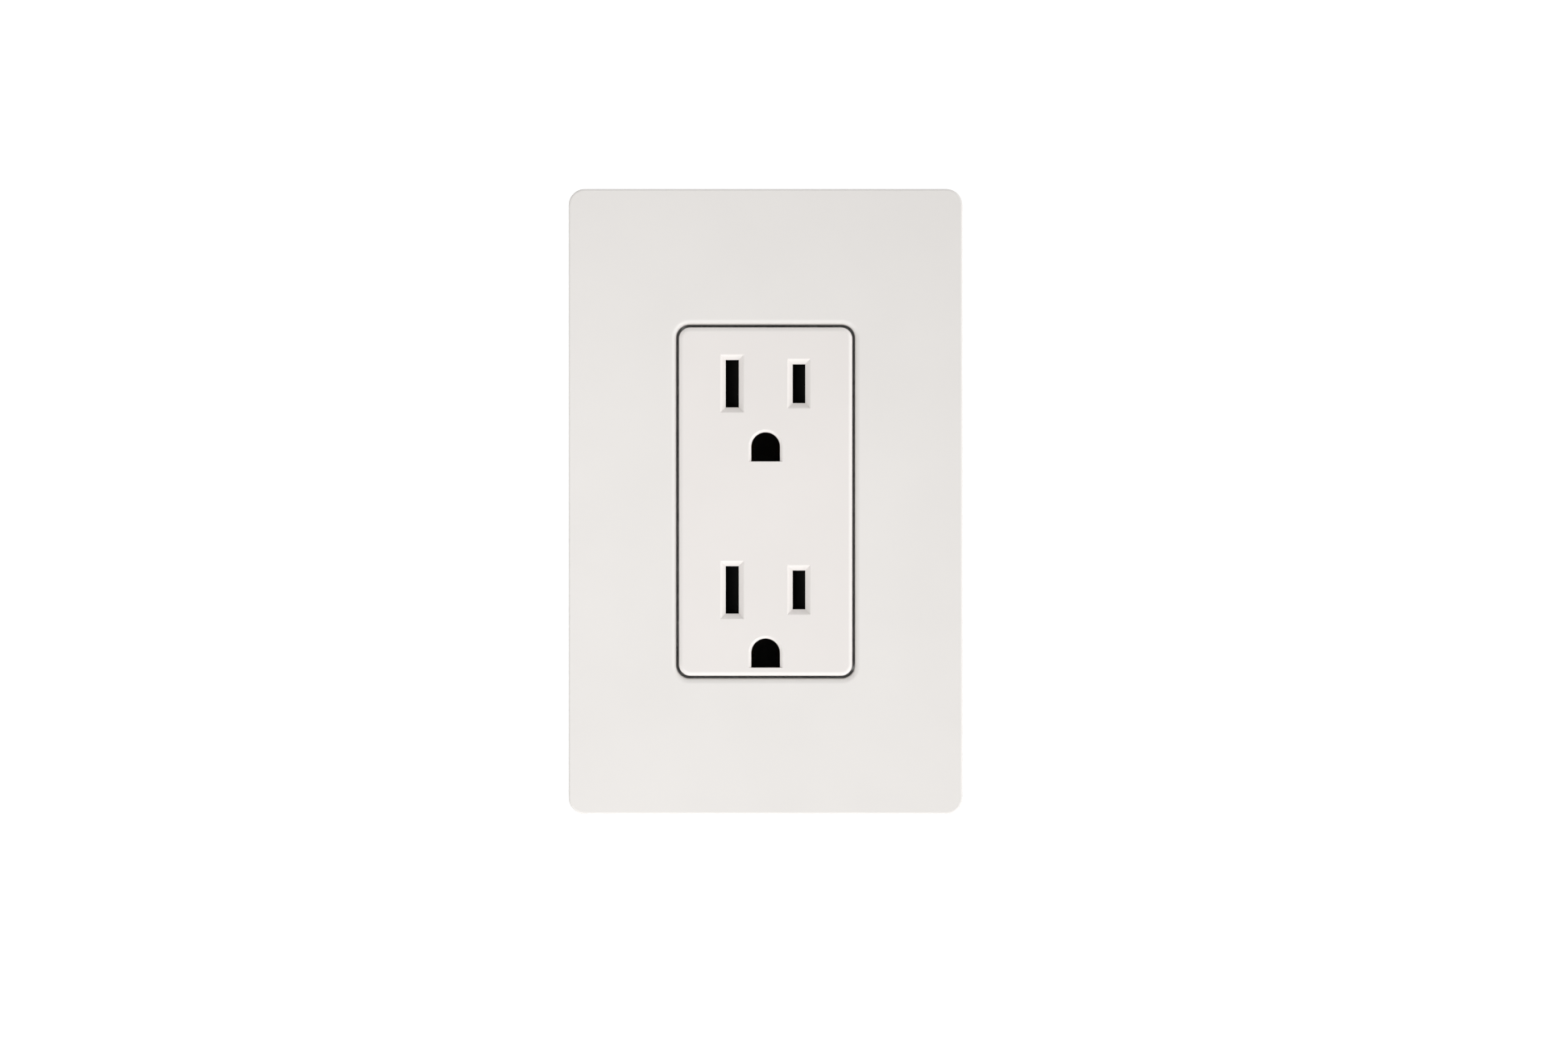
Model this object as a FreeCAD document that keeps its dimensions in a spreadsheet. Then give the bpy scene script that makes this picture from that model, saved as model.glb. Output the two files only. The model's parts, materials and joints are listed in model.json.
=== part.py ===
"""Duplex wall outlet with a clip-on cover plate, each piece a solid of its own.

The frame: +X to the right and +Z up as seen from the room, +Y into the wall. The origin is on
the wall's surface, midway between the two mounting screws. Distances in front of the wall are
positive "front" distances, so a point at front distance 5 has y = -5. Millimetres.
"""
import FreeCAD, Part
import os
import re
import Sketcher

SIZES = {
    # Cover plate, and the opening that the receptacle's face stands in.
    "plate_width": 75.0,
    "plate_height": 119.0,
    "plate_front": 7.6,
    "plate_wall": 1.8,
    "plate_side": 1.6,
    "plate_corner": 3.1,
    "plate_edge": 0.4,
    "opening_width": 34.0,
    "opening_height": 67.3,
    "opening_corner": 2.5,
    "opening_edge": 1.0,
    "collar_wall": 1.0,
    "collar_back": 3.4,
    "pry_width": 6.0,
    "pry_depth": 1.2,
    # Snap hooks on the cover, and the catches on the adapter that they stand behind.
    "snap_length": 10.0,
    "snap_place": 30.0,
    "snap_thick": 1.0,
    "catch_reach": 0.5,
    "catch_back": 1.9,
    "catch_thick": 1.0,
    "catch_gap": 0.1,
    # Adapter plate, screwed to the strap under the cover.
    "adapter_width": 68.6,
    "adapter_height": 112.6,
    "adapter_front": 3.1,
    "adapter_back": 0.1,
    "adapter_rim": 1.5,
    "adapter_corner": 2.4,
    "window_width": 36.4,
    "window_height": 69.7,
    "window_wall": 1.2,
    "window_front": 5.2,
    "head_clearance": 0.3,
    # Strap: the steel frame that carries everything.
    "strap_thick": 1.3,
    "strap_width": 35.0,
    "strap_shoulder": 37.0,
    "neck_width": 26.6,
    "ear_start": 47.0,
    "strap_length": 106.4,
    "ear_slit_place": 8.2,
    "ear_slit_width": 1.0,
    "ear_slit_depth": 2.2,
    "mounting_pitch": 83.34,
    "mounting_slot": 6.4,
    "mounting_slot_half": 2.1,
    "ear_round": 1.2,
    "cover_pitch": 96.8,
    "blade_window_inner": 3.6,
    "blade_window_outer": 10.2,
    "blade_window_half": 6.5,
    "pin_window_half_width": 3.5,
    "pin_window_half_height": 3.9,
    "tab_length": 12.5,
    "tab_half_height": 4.5,
    "tab_centre": 41.9,
    "tab_screw_depth": 8.0,
    # Receptacle face, with its slots. Both outlets are alike, one above the other.
    "face_width": 33.0,
    "face_height": 66.3,
    "face_front": 7.85,
    "face_corner": 2.15,
    "face_edge": 0.8,
    "face_wall": 2.45,
    "cavity_half_width": 14.9,
    "cavity_half_height": 31.6,
    "pilot_skin": 1.25,
    "upper_line": 22.44,
    "lower_line": -16.81,
    "slot_place": 6.35,
    "slot_chamfer": 1.0,
    "neutral_slot_width": 2.5,
    "neutral_slot_height": 9.05,
    "hot_slot_width": 2.4,
    "hot_slot_height": 7.4,
    "pin_drop": 11.97,
    "pin_radius": 2.74,
    "pin_foot": 2.85,
    "pin_chamfer": 0.5,
    "pin_chimney_wall": 0.7,
    "chimney_back": 1.5,
    "post_place_across": 13.0,
    "post_place_up": 30.6,
    "post_radius": 2.3,
    # Safety shutters behind the slots, at rest, and the carriers they slide on.
    "shutter_front": 5.3,
    "shutter_back": 2.8,
    "shutter_left": 12.0,
    "shutter_right": 8.6,
    "shutter_top": 5.0,
    "shutter_bottom": 5.4,
    "shutter_travel": 3.0,
    "shutter_window_width": 2.9,
    "shutter_window_half": 4.7,
    "ramp_length": 2.8,
    "ramp_foot": 3.1,
    "cutter_margin": 0.1,
    "arm_width": 1.5,
    "arm_bottom": 8.4,
    "spring_line": 7.1,
    "spring_depth": 4.05,
    "spring_length": 10.0,
    "spring_radius": 0.85,
    "spring_wire": 0.125,
    "spring_turns": 9.0,
    "spring_pin_radius": 0.45,
    "spring_pin_length": 1.2,
    "carrier_front": 2.5,
    "carrier_half_width": 13.4,
    "carrier_top": 6.4,
    "carrier_shoulder": 5.0,
    "carrier_top_half_width": 10.2,
    "carrier_bottom": 8.4,
    "carrier_foot": 9.2,
    "carrier_foot_end": 4.2,
    "carrier_gap_half": 1.6,
    "guide_thick": 1.0,
    "foot_guide_thick": 0.6,
    "spring_post_thick": 1.2,
    "spring_post_height": 2.6,
    # Base: the moulded body behind the strap.
    "base_width": 42.0,
    "base_height": 70.0,
    "base_depth": 24.0,
    "base_corner": 2.0,
    "base_back_edge": 1.2,
    "well_radius": 2.9,
    "well_floor": 9.0,
    "chamber_inner": 3.4,
    "chamber_half": 4.2,
    "chamber_depth": 19.0,
    "bus_pocket_inner": 13.9,
    "bus_pocket_outer": 16.9,
    "shank_pocket_inner": 8.0,
    "shank_pocket_half": 2.7,
    "shank_pocket_depth": 15.0,
    "pin_chamber_half_width": 4.0,
    "pin_chamber_half_height": 4.4,
    "pin_chamber_depth": 14.0,
    "channel_half_width": 2.6,
    "channel_depth": 2.0,
    "bay_front": 6.0,
    "bay_back": 18.0,
    "bay_half": 5.0,
    "tab_bay_half": 4.0,
    "wire_hole_radius": 1.3,
    "wire_funnel_radius": 1.9,
    "wire_funnel_depth": 0.7,
    "wire_hole_place": 17.9,
    "wire_hole_offset": 3.4,
    "panel_width": 17.0,
    "panel_height": 44.0,
    "panel_depth": 0.8,
    "gauge_place": 11.0,
    "gauge_width": 1.6,
    "gauge_length": 16.0,
    "gauge_depth": 0.6,
    "ejector_radius": 2.2,
    "ejector_depth": 0.25,
    "ejector_place": 26.0,
    # Line and neutral contacts: one bent strip on each side.
    "bus_inner": 15.5,
    "bus_outer": 16.5,
    "bus_front": 5.0,
    "web_front": 17.0,
    "web_back": 18.0,
    "leaf_half": 3.2,
    "leaf_thick": 0.6,
    "leaf_root": 1.15,
    "leaf_pinch": 0.45,
    "leaf_mouth": 1.1,
    "leaf_pinch_depth": 6.0,
    "leaf_mouth_depth": 2.8,
    "bus_notch": 2.4,
    "bus_notch_front": 9.0,
    "bus_notch_back": 14.5,
    # Ground contact: a strip riveted to the strap, with a pair of leaves for each ground pin.
    "ground_thick": 0.8,
    "ground_half_width": 2.0,
    "ground_pad_half": 3.55,
    "ground_pad_half_height": 4.1,
    "ground_hole_half_width": 2.95,
    "ground_hole_half_height": 3.1,
    "ground_leaf_half": 2.6,
    "ground_leaf_pinch": 2.3,
    "ground_leaf_mouth": 2.8,
    "ground_pinch_depth": 7.5,
    "ground_leaf_depth": 10.5,
    "upper_rivet": 2.0,
    "lower_rivet": -7.5,
    "rivet_radius": 1.2,
    "rivet_head_radius": 2.0,
    "rivet_head": 0.7,
    # Screws. A fit is the radial clearance of a screw in its hole. Shares are of a head's radius
    # or height, or of a thread's radius.
    "fit": 0.05,
    "crown_share": 0.6,
    "shoulder_share": 0.9,
    "shoulder_height_share": 0.7,
    "rim_height_share": 0.3,
    "cross_share": 1.2,
    "tip_share": 0.7,
    "tip_length": 0.6,
    "drive_depth": 0.9,
    "drive_width": 0.9,
    "mounting_radius": 1.75,
    "mounting_neck": 1.45,
    "mounting_neck_length": 4.3,
    "mounting_head_radius": 3.2,
    "mounting_head": 1.9,
    "mounting_length": 25.4,
    "retainer_half": 4.0,
    "retainer_front": 2.0,
    "retainer_thick": 0.8,
    "cover_screw_head_radius": 2.8,
    "cover_screw_length": 12.7,
    "cover_screw_margin": 0.1,
    "assembly_radius": 1.42,
    "assembly_head_radius": 2.6,
    "assembly_head": 1.8,
    "assembly_length": 14.6,
    "terminal_line": 13.5,
    "terminal_depth": 12.0,
    "terminal_radius": 2.08,
    "terminal_head_radius": 4.0,
    "terminal_head": 2.0,
    "terminal_length": 9.0,
    "clamp_half": 4.4,
    "clamp_thick": 1.0,
    "clamp_open": 2.7,
    "hex_radius": 4.0,
    "flange_reach": 0.3,
    "flange_thick": 0.7,
}

DOC = FreeCAD.newDocument("DuplexOutlet")
SHEET = DOC.addObject("Spreadsheet::Sheet", "Sizes")

# Each way of looking at a body: its sketch plane. Seen from the front a sketch has axes (x, z)
# and grows towards the room; from the right (y, z), growing to +X; from above (x, y), to +Z.
PLANES = {"front": "XZ_Plane", "right": "YZ_Plane", "above": "XY_Plane"}
HEAD_TOWARDS = {
    "room": FreeCAD.Rotation(FreeCAD.Vector(1, 0, 0), 90),
    "wall": FreeCAD.Rotation(FreeCAD.Vector(1, 0, 0), -90),
    "right": FreeCAD.Rotation(FreeCAD.Vector(0, 1, 0), 90),
    "left": FreeCAD.Rotation(FreeCAD.Vector(0, 1, 0), -90),
}
SIDES = {"hot": 1, "neutral": -1}
OUTLETS = ("upper", "lower")
ENDS = {"top": 1, "bottom": -1}
TOUCH = 1e-4
SUB_PARTS = []


def fill_sheet():
    for row, (alias, number) in enumerate(SIZES.items(), start=1):
        cell = f"A{row}"
        SHEET.set(cell, str(number))
        SHEET.setAlias(cell, alias)
    DOC.recompute()


def bound(text):
    """The expression on the sheet's cells that a text with bare size names stands for."""
    def cell(word):
        return f"Sizes.{word.group()}" if word.group() in SIZES else word.group()

    return re.sub(r"[a-z][a-z_]*", cell, str(text))


def value(text):
    return float(SHEET.evalExpression(bound(text)))


# Outlines: each returns a function that draws itself in a sketch, tied to the sheet.

def tie_point(sketch, geometry, end, across, up):
    for kind, text in (("DistanceX", across), ("DistanceY", up)):
        number = sketch.addConstraint(Sketcher.Constraint(kind, -1, 1, geometry, end, value(text)))
        sketch.setExpression(f"Constraints[{number}]", bound(text))


def polygon(points):
    def draw(sketch):
        corners = [FreeCAD.Vector(value(across), value(up), 0) for across, up in points]
        lines = [
            sketch.addGeometry(Part.LineSegment(start, end), False)
            for start, end in zip(corners, corners[1:] + corners[:1])
        ]
        for line, following in zip(lines, lines[1:] + lines[:1]):
            sketch.addConstraint(Sketcher.Constraint("Coincident", line, 2, following, 1))
        for line, (across, up) in zip(lines, points):
            tie_point(sketch, line, 1, across, up)

    return draw


def rectangle(left, right, low, high):
    return polygon([(left, low), (right, low), (right, high), (left, high)])


def centred(width, height):
    return rectangle(f"-({width}) / 2", f"({width}) / 2", f"-({height}) / 2", f"({height}) / 2")


def circle(across, up, radius):
    def draw(sketch):
        centre = FreeCAD.Vector(value(across), value(up), 0)
        ring = sketch.addGeometry(Part.Circle(centre, FreeCAD.Vector(0, 0, 1), value(radius)), False)
        number = sketch.addConstraint(Sketcher.Constraint("Radius", ring, value(radius)))
        sketch.setExpression(f"Constraints[{number}]", bound(radius))
        tie_point(sketch, ring, 3, across, up)

    return draw


# Features

def new_body(label):
    body = DOC.addObject("PartDesign::Body", label)
    body.Label = label
    return body


def sub_part(piece):
    """Counts a piece as one that gets a file of its own."""
    SUB_PARTS.append(piece)
    return piece


def place(piece, head_towards, across="0", back="0", up="0"):
    piece.Placement = FreeCAD.Placement(FreeCAD.Vector(), HEAD_TOWARDS[head_towards])
    for axis, text in (("x", across), ("y", back), ("z", up)):
        piece.setExpression(f"Placement.Base.{axis}", bound(text))


def new_sketch(body, name, facing, offset, outlines):
    sketch = body.newObject("Sketcher::SketchObject", name)
    plane = next(item for item in body.Origin.OriginFeatures if item.Role == PLANES[facing])
    sketch.AttachmentSupport = (plane, [""])
    sketch.MapMode = "FlatFace"
    sketch.setExpression("AttachmentOffset.Base.z", bound(offset))
    for outline in outlines:
        outline(sketch)
    return sketch


def add(body, name, facing, outlines, low, high):
    """Material from low to high along the way the sketch grows."""
    pad = body.newObject("PartDesign::Pad", name)
    pad.Profile = new_sketch(body, f"{name}_outline", facing, low, outlines)
    pad.setExpression("Length", bound(f"({high}) - ({low})"))
    return pad


def cut(body, name, facing, outlines, low, high):
    """A pocket from high down to low along the way the sketch grows."""
    pocket = body.newObject("PartDesign::Pocket", name)
    pocket.Profile = new_sketch(body, f"{name}_outline", facing, high, outlines)
    pocket.setExpression("Length", bound(f"({high}) - ({low})"))
    return pocket


def turn(body, name, profile):
    """A solid of revolution about the body's own Z, from (radius, height) points."""
    revolution = body.newObject("PartDesign::Revolution", name)
    sketch = new_sketch(body, f"{name}_profile", "front", "0", [polygon(profile)])
    revolution.Profile = sketch
    revolution.ReferenceAxis = (sketch, ["V_Axis"])
    revolution.Angle = 360
    return revolution


def is_in_box(edge, box):
    low, high = box
    bounds = edge.BoundBox
    lowest = (bounds.XMin, bounds.YMin, bounds.ZMin)
    highest = (bounds.XMax, bounds.YMax, bounds.ZMax)
    return all(a >= b - TOUCH for a, b in zip(lowest, low)) and all(
        a <= b + TOUCH for a, b in zip(highest, high)
    )


def runs_front_to_back(edge):
    bounds = edge.BoundBox
    return bounds.XLength < TOUCH and bounds.ZLength < TOUCH and bounds.YLength > TOUCH


def dress(body, kind, name, size, wanted):
    """A fillet or chamfer on the edges of the body so far for which wanted(edge) is true."""
    DOC.recompute()
    base = body.Tip
    edges = [f"Edge{i}" for i, edge in enumerate(base.Shape.Edges, start=1) if wanted(edge)]
    if not edges:
        raise ValueError(f"{body.Label}: no edges found for {name}")
    feature = body.newObject(f"PartDesign::{kind}", name)
    feature.Base = (base, edges)
    feature.setExpression("Radius" if kind == "Fillet" else "Size", bound(size))
    return feature


def box_at_front(front, left, right, low, high):
    """A flat box on the plane at this front distance, for choosing edges."""
    depth = -value(front)
    return (value(left), depth, value(low)), (value(right), depth, value(high))


def front_loop(front, half_width, half_height):
    """Chooses the edges on the plane at this front distance, within a centred rectangle."""
    box = box_at_front(
        front, f"-({half_width})", half_width, f"-({half_height})", half_height
    )
    return lambda edge: is_in_box(edge, box)


# The cover

def snap_places():
    """Each snap: the side it is on ("x" or "z"), which way it faces, and its place along the side."""
    sides = [("x", side, along) for side in (1, -1) for along in ("snap_place", "-snap_place")]
    return sides + [("z", side, "0") for side in (1, -1)]


def snap_block(axis, side, along, near, far):
    """The outline of a snap: snap_length long, from near to far of the centre."""
    start, end = f"{along} - snap_length / 2", f"{along} + snap_length / 2"
    near, far = f"{side} * ({near})", f"{side} * ({far})"
    return rectangle(near, far, start, end) if axis == "x" else rectangle(start, end, near, far)


def build_cover_plate():
    body = sub_part(new_body("cover_plate"))
    inside_front = "plate_front - plate_wall"
    add(body, "cover_shell", "front", [centred("plate_width", "plate_height")], "0", "plate_front")
    dress(body, "Fillet", "cover_corners", "plate_corner", runs_front_to_back)
    outer_loop = front_loop("plate_front", "plate_width / 2", "plate_height / 2")
    dress(body, "Fillet", "cover_rim", "plate_edge", outer_loop)
    hollow = centred("plate_width - 2 * plate_side", "plate_height - 2 * plate_side")
    cut(body, "cover_hollow", "front", [hollow], "0", inside_front)
    collar = centred("opening_width + 2 * collar_wall", "opening_height + 2 * collar_wall")
    add(body, "cover_collar", "front", [collar], "collar_back", inside_front)
    opening = centred("opening_width", "opening_height")
    cut(body, "cover_opening", "front", [opening], "0", "plate_front")
    half_opening = value("opening_width / 2")
    dress(
        body, "Fillet", "opening_corners", "opening_corner",
        lambda edge: runs_front_to_back(edge)
        and abs(abs(edge.BoundBox.XMin) - half_opening) < TOUCH,
    )
    inner_loop = front_loop("plate_front", "opening_width / 2", "opening_height / 2")
    dress(body, "Fillet", "opening_rim", "opening_edge", inner_loop)
    for number, (axis, side, along) in enumerate(snap_places()):
        across = "width" if axis == "x" else "height"
        span, rim = f"plate_{across}", f"adapter_{across}"
        reach = snap_block(
            axis, side, along,
            f"{rim} / 2 + catch_reach + catch_gap", f"{span} / 2 - plate_side / 2",
        )
        hook_front = "catch_back - catch_gap"
        add(body, f"hook_{number}", "front", [reach], f"{hook_front} - snap_thick", hook_front)
    pry = rectangle("-pry_width / 2", "pry_width / 2", "-plate_height / 2", "plate_side - plate_height / 2")
    cut(body, "pry_notch", "front", [pry], "0", "pry_depth")


def build_adapter_plate():
    body = sub_part(new_body("adapter_plate"))
    tray = centred("adapter_width", "adapter_height")
    add(body, "adapter_tray", "front", [tray], "adapter_back", "adapter_front")
    dress(body, "Fillet", "adapter_corners", "adapter_corner", runs_front_to_back)
    hollow = centred("adapter_width - 2 * adapter_rim", "adapter_height - 2 * adapter_rim")
    cut(body, "adapter_hollow", "front", [hollow], "adapter_back", "strap_thick")
    collar = centred("window_width + 2 * window_wall", "window_height + 2 * window_wall")
    add(body, "adapter_collar", "front", [collar], "adapter_front", "window_front")
    window = centred("window_width", "window_height")
    cut(body, "adapter_window", "front", [window], "adapter_back", "window_front")
    for number, (axis, side, along) in enumerate(snap_places()):
        rim = "adapter_width" if axis == "x" else "adapter_height"
        catch = snap_block(axis, side, along, f"{rim} / 2 - adapter_rim / 2", f"{rim} / 2 + catch_reach")
        add(body, f"catch_{number}", "front", [catch], "catch_back", "catch_back + catch_thick")
    for end, up in ENDS.items():
        head_hole = circle("0", f"{up} * mounting_pitch / 2", "mounting_head_radius + head_clearance")
        cut(body, f"head_hole_{end}", "front", [head_hole], "adapter_back", "window_front")
        screw_hole = circle("0", f"{up} * cover_pitch / 2", "mounting_radius + fit")
        cut(body, f"screw_hole_{end}", "front", [screw_hole], "adapter_back", "adapter_front")
    holes = [value("cover_pitch / 2"), -value("cover_pitch / 2")]
    mouth = -value("adapter_front")
    dress(
        body, "Chamfer", "countersinks", "cover_screw_head_radius - mounting_radius",
        lambda edge: edge.Curve.TypeId == "Part::GeomCircle"
        and abs(edge.BoundBox.YMin - mouth) < TOUCH
        and abs(edge.BoundBox.YMax - mouth) < TOUCH
        and min(abs(edge.Curve.Center.z - hole) for hole in holes) < TOUCH,
    )


# The strap

def strap_outline():
    """One quarter of the outline, carried round the four quarters."""
    quarter = [
        ("strap_width / 2", "strap_shoulder"),
        ("neck_width / 2", "strap_shoulder"),
        ("neck_width / 2", "ear_start"),
        ("strap_width / 2", "ear_start"),
        ("strap_width / 2", "strap_length / 2"),
        ("ear_slit_place + ear_slit_width", "strap_length / 2"),
        ("ear_slit_place + ear_slit_width", "strap_length / 2 - ear_slit_depth"),
        ("ear_slit_place", "strap_length / 2 - ear_slit_depth"),
        ("ear_slit_place", "strap_length / 2"),
    ]
    quarters = ((1, 1, 1), (-1, 1, -1), (-1, -1, 1), (1, -1, -1))
    return polygon(
        [
            (f"{across} * ({x})", f"{up} * ({z})")
            for across, up, step in quarters
            for x, z in quarter[::step]
        ]
    )


def build_strap():
    body = sub_part(new_body("strap"))
    add(body, "strap_sheet", "front", [strap_outline()], "0", "strap_thick")
    half_width = value("strap_width / 2")
    dress(
        body, "Fillet", "ear_corners", "ear_round",
        lambda edge: runs_front_to_back(edge)
        and abs(abs(edge.BoundBox.XMin) - half_width) < TOUCH,
    )
    for outlet in OUTLETS:
        line = f"{outlet}_line"
        for name, side in SIDES.items():
            window = rectangle(
                f"{side} * blade_window_inner", f"{side} * blade_window_outer",
                f"{line} - blade_window_half", f"{line} + blade_window_half",
            )
            cut(body, f"{outlet}_{name}_window", "front", [window], "0", "strap_thick")
        pin = f"{line} - pin_drop"
        window = rectangle(
            "-pin_window_half_width", "pin_window_half_width",
            f"{pin} - pin_window_half_height", f"{pin} + pin_window_half_height",
        )
        cut(body, f"{outlet}_pin_window", "front", [window], "0", "strap_thick")
        rivet_hole = circle("0", f"{outlet}_rivet", "rivet_radius + fit")
        cut(body, f"{outlet}_rivet_hole", "front", [rivet_hole], "0", "strap_thick")
    for end, up in ENDS.items():
        centre = f"{up} * mounting_pitch / 2"
        straight = "(mounting_slot / 2 - mounting_slot_half)"
        slot = rectangle(
            f"-{straight}", straight, f"{centre} - mounting_slot_half", f"{centre} + mounting_slot_half"
        )
        cut(body, f"mounting_slot_{end}", "front", [slot], "0", "strap_thick")
        for side in (1, -1):
            round_end = circle(f"{side} * {straight}", centre, "mounting_slot_half")
            cut(body, f"slot_end_{end}", "front", [round_end], "0", "strap_thick")
        tapped = circle("0", f"{up} * cover_pitch / 2", "mounting_radius + fit")
        cut(body, f"tapped_hole_{end}", "front", [tapped], "0", "strap_thick")
        for side in (1, -1):
            spot = (f"{side} * post_place_across", f"{up} * post_place_up")
            hole = circle(*spot, "assembly_radius + 2 * fit")
            cut(body, f"assembly_hole_{end}", "front", [hole], "0", "strap_thick")
    tab_outer = "-neck_width / 2"
    tab = rectangle(
        "-strap_thick", "tab_length", "-tab_centre - tab_half_height", "-tab_centre + tab_half_height"
    )
    add(body, "ground_tab", "right", [tab], tab_outer, f"{tab_outer} + strap_thick")
    tapped = circle("tab_screw_depth", "-tab_centre", "terminal_radius + fit")
    cut(body, "ground_tapped_hole", "right", [tapped], tab_outer, f"{tab_outer} + strap_thick")


# The receptacle's face

def pin_outline(line, margin):
    """The ground hole's two overlapping parts: its round top, and the square bottom under it."""
    centre = f"({line} - pin_drop)"
    radius = f"(pin_radius + {margin})"
    return (
        circle("0", centre, radius),
        rectangle(f"-{radius}", radius, f"{centre} - pin_foot - {margin}", centre),
    )


def slot_edges(outlet, name):
    """A blade slot's left, right, low and high edges."""
    centre = f"{SIDES[name]} * slot_place"
    width, height = f"{name}_slot_width", f"{name}_slot_height"
    return (
        f"{centre} - {width} / 2", f"{centre} + {width} / 2",
        f"{outlet}_line - {height} / 2", f"{outlet}_line + {height} / 2",
    )


def build_face():
    body = sub_part(new_body("face"))
    wall_back = "face_front - face_wall"
    outer = centred("face_width", "face_height")
    add(body, "face_block", "front", [outer], "strap_thick", "face_front")
    dress(body, "Fillet", "face_corners", "face_corner", runs_front_to_back)
    rim = front_loop("face_front", "face_width / 2", "face_height / 2")
    dress(body, "Fillet", "face_rim", "face_edge", rim)
    cavity = centred("2 * cavity_half_width", "2 * cavity_half_height")
    cut(body, "face_cavity", "front", [cavity], "strap_thick", wall_back)
    for up in ENDS.values():
        for side in (1, -1):
            place_across, place_up = f"{side} * post_place_across", f"{up} * post_place_up"
            post = circle(place_across, place_up, "post_radius")
            add(body, "face_post", "front", [post], "strap_thick", wall_back)
            pilot = circle(place_across, place_up, "assembly_radius + fit")
            cut(body, "face_pilot", "front", [pilot], "strap_thick", "face_front - pilot_skin")
    for outlet in OUTLETS:
        line = f"{outlet}_line"
        for chimney in pin_outline(line, "pin_chimney_wall"):
            add(body, f"{outlet}_chimney", "front", [chimney], "chimney_back", wall_back)
        for hole in pin_outline(line, "0"):
            cut(body, f"{outlet}_pin_hole", "front", [hole], "0", "face_front")
        for name in SIDES:
            slot = rectangle(*slot_edges(outlet, name))
            cut(body, f"{outlet}_{name}_slot", "front", [slot], wall_back, "face_front")
    slot_mouths = [
        box_at_front("face_front", *slot_edges(outlet, name)) for outlet in OUTLETS for name in SIDES
    ]
    dress(
        body, "Chamfer", "slot_chamfers", "slot_chamfer",
        lambda edge: any(is_in_box(edge, box) for box in slot_mouths),
    )
    pin_mouths = [
        box_at_front(
            "face_front", "-pin_radius", "pin_radius",
            f"{outlet}_line - pin_drop - pin_foot", f"{outlet}_line - pin_drop + pin_radius",
        )
        for outlet in OUTLETS
    ]
    dress(
        body, "Chamfer", "pin_chamfers", "pin_chamfer",
        lambda edge: any(is_in_box(edge, box) for box in pin_mouths)
        and edge.BoundBox.ZLength > TOUCH,
    )


# Shutters

def build_shutter(outlet):
    body = sub_part(new_body(f"{outlet}_shutter"))
    line = f"{outlet}_line"
    plate = polygon(
        [
            ("-shutter_left", f"{line} + shutter_top"),
            ("-shutter_left", f"{line} - arm_bottom"),
            ("-shutter_left + arm_width", f"{line} - arm_bottom"),
            ("-shutter_left + arm_width", f"{line} - shutter_bottom"),
            ("shutter_right", f"{line} - shutter_bottom"),
            ("shutter_right", f"{line} + shutter_top"),
        ]
    )
    add(body, "shutter_slide", "front", [plate], "shutter_back", "shutter_front")
    low, high = f"{line} - shutter_window_half", f"{line} + shutter_window_half"
    for side in SIDES.values():
        middle = f"({side} * slot_place - shutter_travel)"
        left, right = f"{middle} - shutter_window_width / 2", f"{middle} + shutter_window_width / 2"
        window = rectangle(left, right, low, high)
        cut(body, "blade_window", "front", [window], "shutter_back", "shutter_front")
        ramp = polygon(
            [
                (f"{right} - cutter_margin", "-shutter_front - cutter_margin"),
                (f"{right} - cutter_margin", "-ramp_foot"),
                (right, "-ramp_foot"),
                (f"{right} + ramp_length", "-shutter_front"),
                (f"{right} + ramp_length", "-shutter_front - cutter_margin"),
            ]
        )
        cut(body, "blade_ramp", "above", [ramp], low, high)
    pin = circle("-spring_depth", f"{line} - spring_line", "spring_pin_radius")
    arm = "-shutter_left + arm_width"
    add(body, "spring_pin", "right", [pin], arm, f"{arm} + spring_pin_length")


def build_carrier(outlet):
    body = sub_part(new_body(f"{outlet}_shutter_carrier"))
    line = f"{outlet}_line"
    plate = polygon(
        [
            ("-carrier_half_width", f"{line} - carrier_foot"),
            ("-carrier_foot_end", f"{line} - carrier_foot"),
            ("-carrier_foot_end", f"{line} - carrier_bottom"),
            ("carrier_half_width", f"{line} - carrier_bottom"),
            ("carrier_half_width", f"{line} + carrier_shoulder"),
            ("carrier_top_half_width", f"{line} + carrier_shoulder"),
            ("carrier_top_half_width", f"{line} + carrier_top"),
            ("-carrier_top_half_width", f"{line} + carrier_top"),
            ("-carrier_top_half_width", f"{line} + carrier_shoulder"),
            ("-carrier_half_width", f"{line} + carrier_shoulder"),
        ]
    )
    add(body, "carrier_plate", "front", [plate], "strap_thick", "carrier_front")
    for side in SIDES.values():
        gap = rectangle(
            f"{side} * slot_place - carrier_gap_half", f"{side} * slot_place + carrier_gap_half",
            f"{line} - shutter_window_half", f"{line} + shutter_window_half",
        )
        cut(body, "blade_gap", "front", [gap], "strap_thick", "carrier_front")
    top_guide = rectangle(
        "-carrier_top_half_width", "carrier_top_half_width",
        f"{line} + carrier_top - guide_thick", f"{line} + carrier_top",
    )
    foot_guide = rectangle(
        "-carrier_half_width", "-carrier_foot_end",
        f"{line} - carrier_foot", f"{line} - carrier_foot + foot_guide_thick",
    )
    add(body, "carrier_guides", "front", [top_guide, foot_guide], "carrier_front", "shutter_front")
    seat = "-shutter_left + arm_width + spring_length"
    foot = f"{line} - carrier_bottom"
    post = rectangle(seat, f"{seat} + spring_post_thick", foot, f"{foot} + spring_post_height")
    add(body, "spring_post", "front", [post], "carrier_front", "shutter_front")
    pin = circle("-spring_depth", f"{line} - spring_line", "spring_pin_radius")
    add(body, "spring_pin", "right", [pin], f"{seat} - spring_pin_length", seat)


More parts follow.
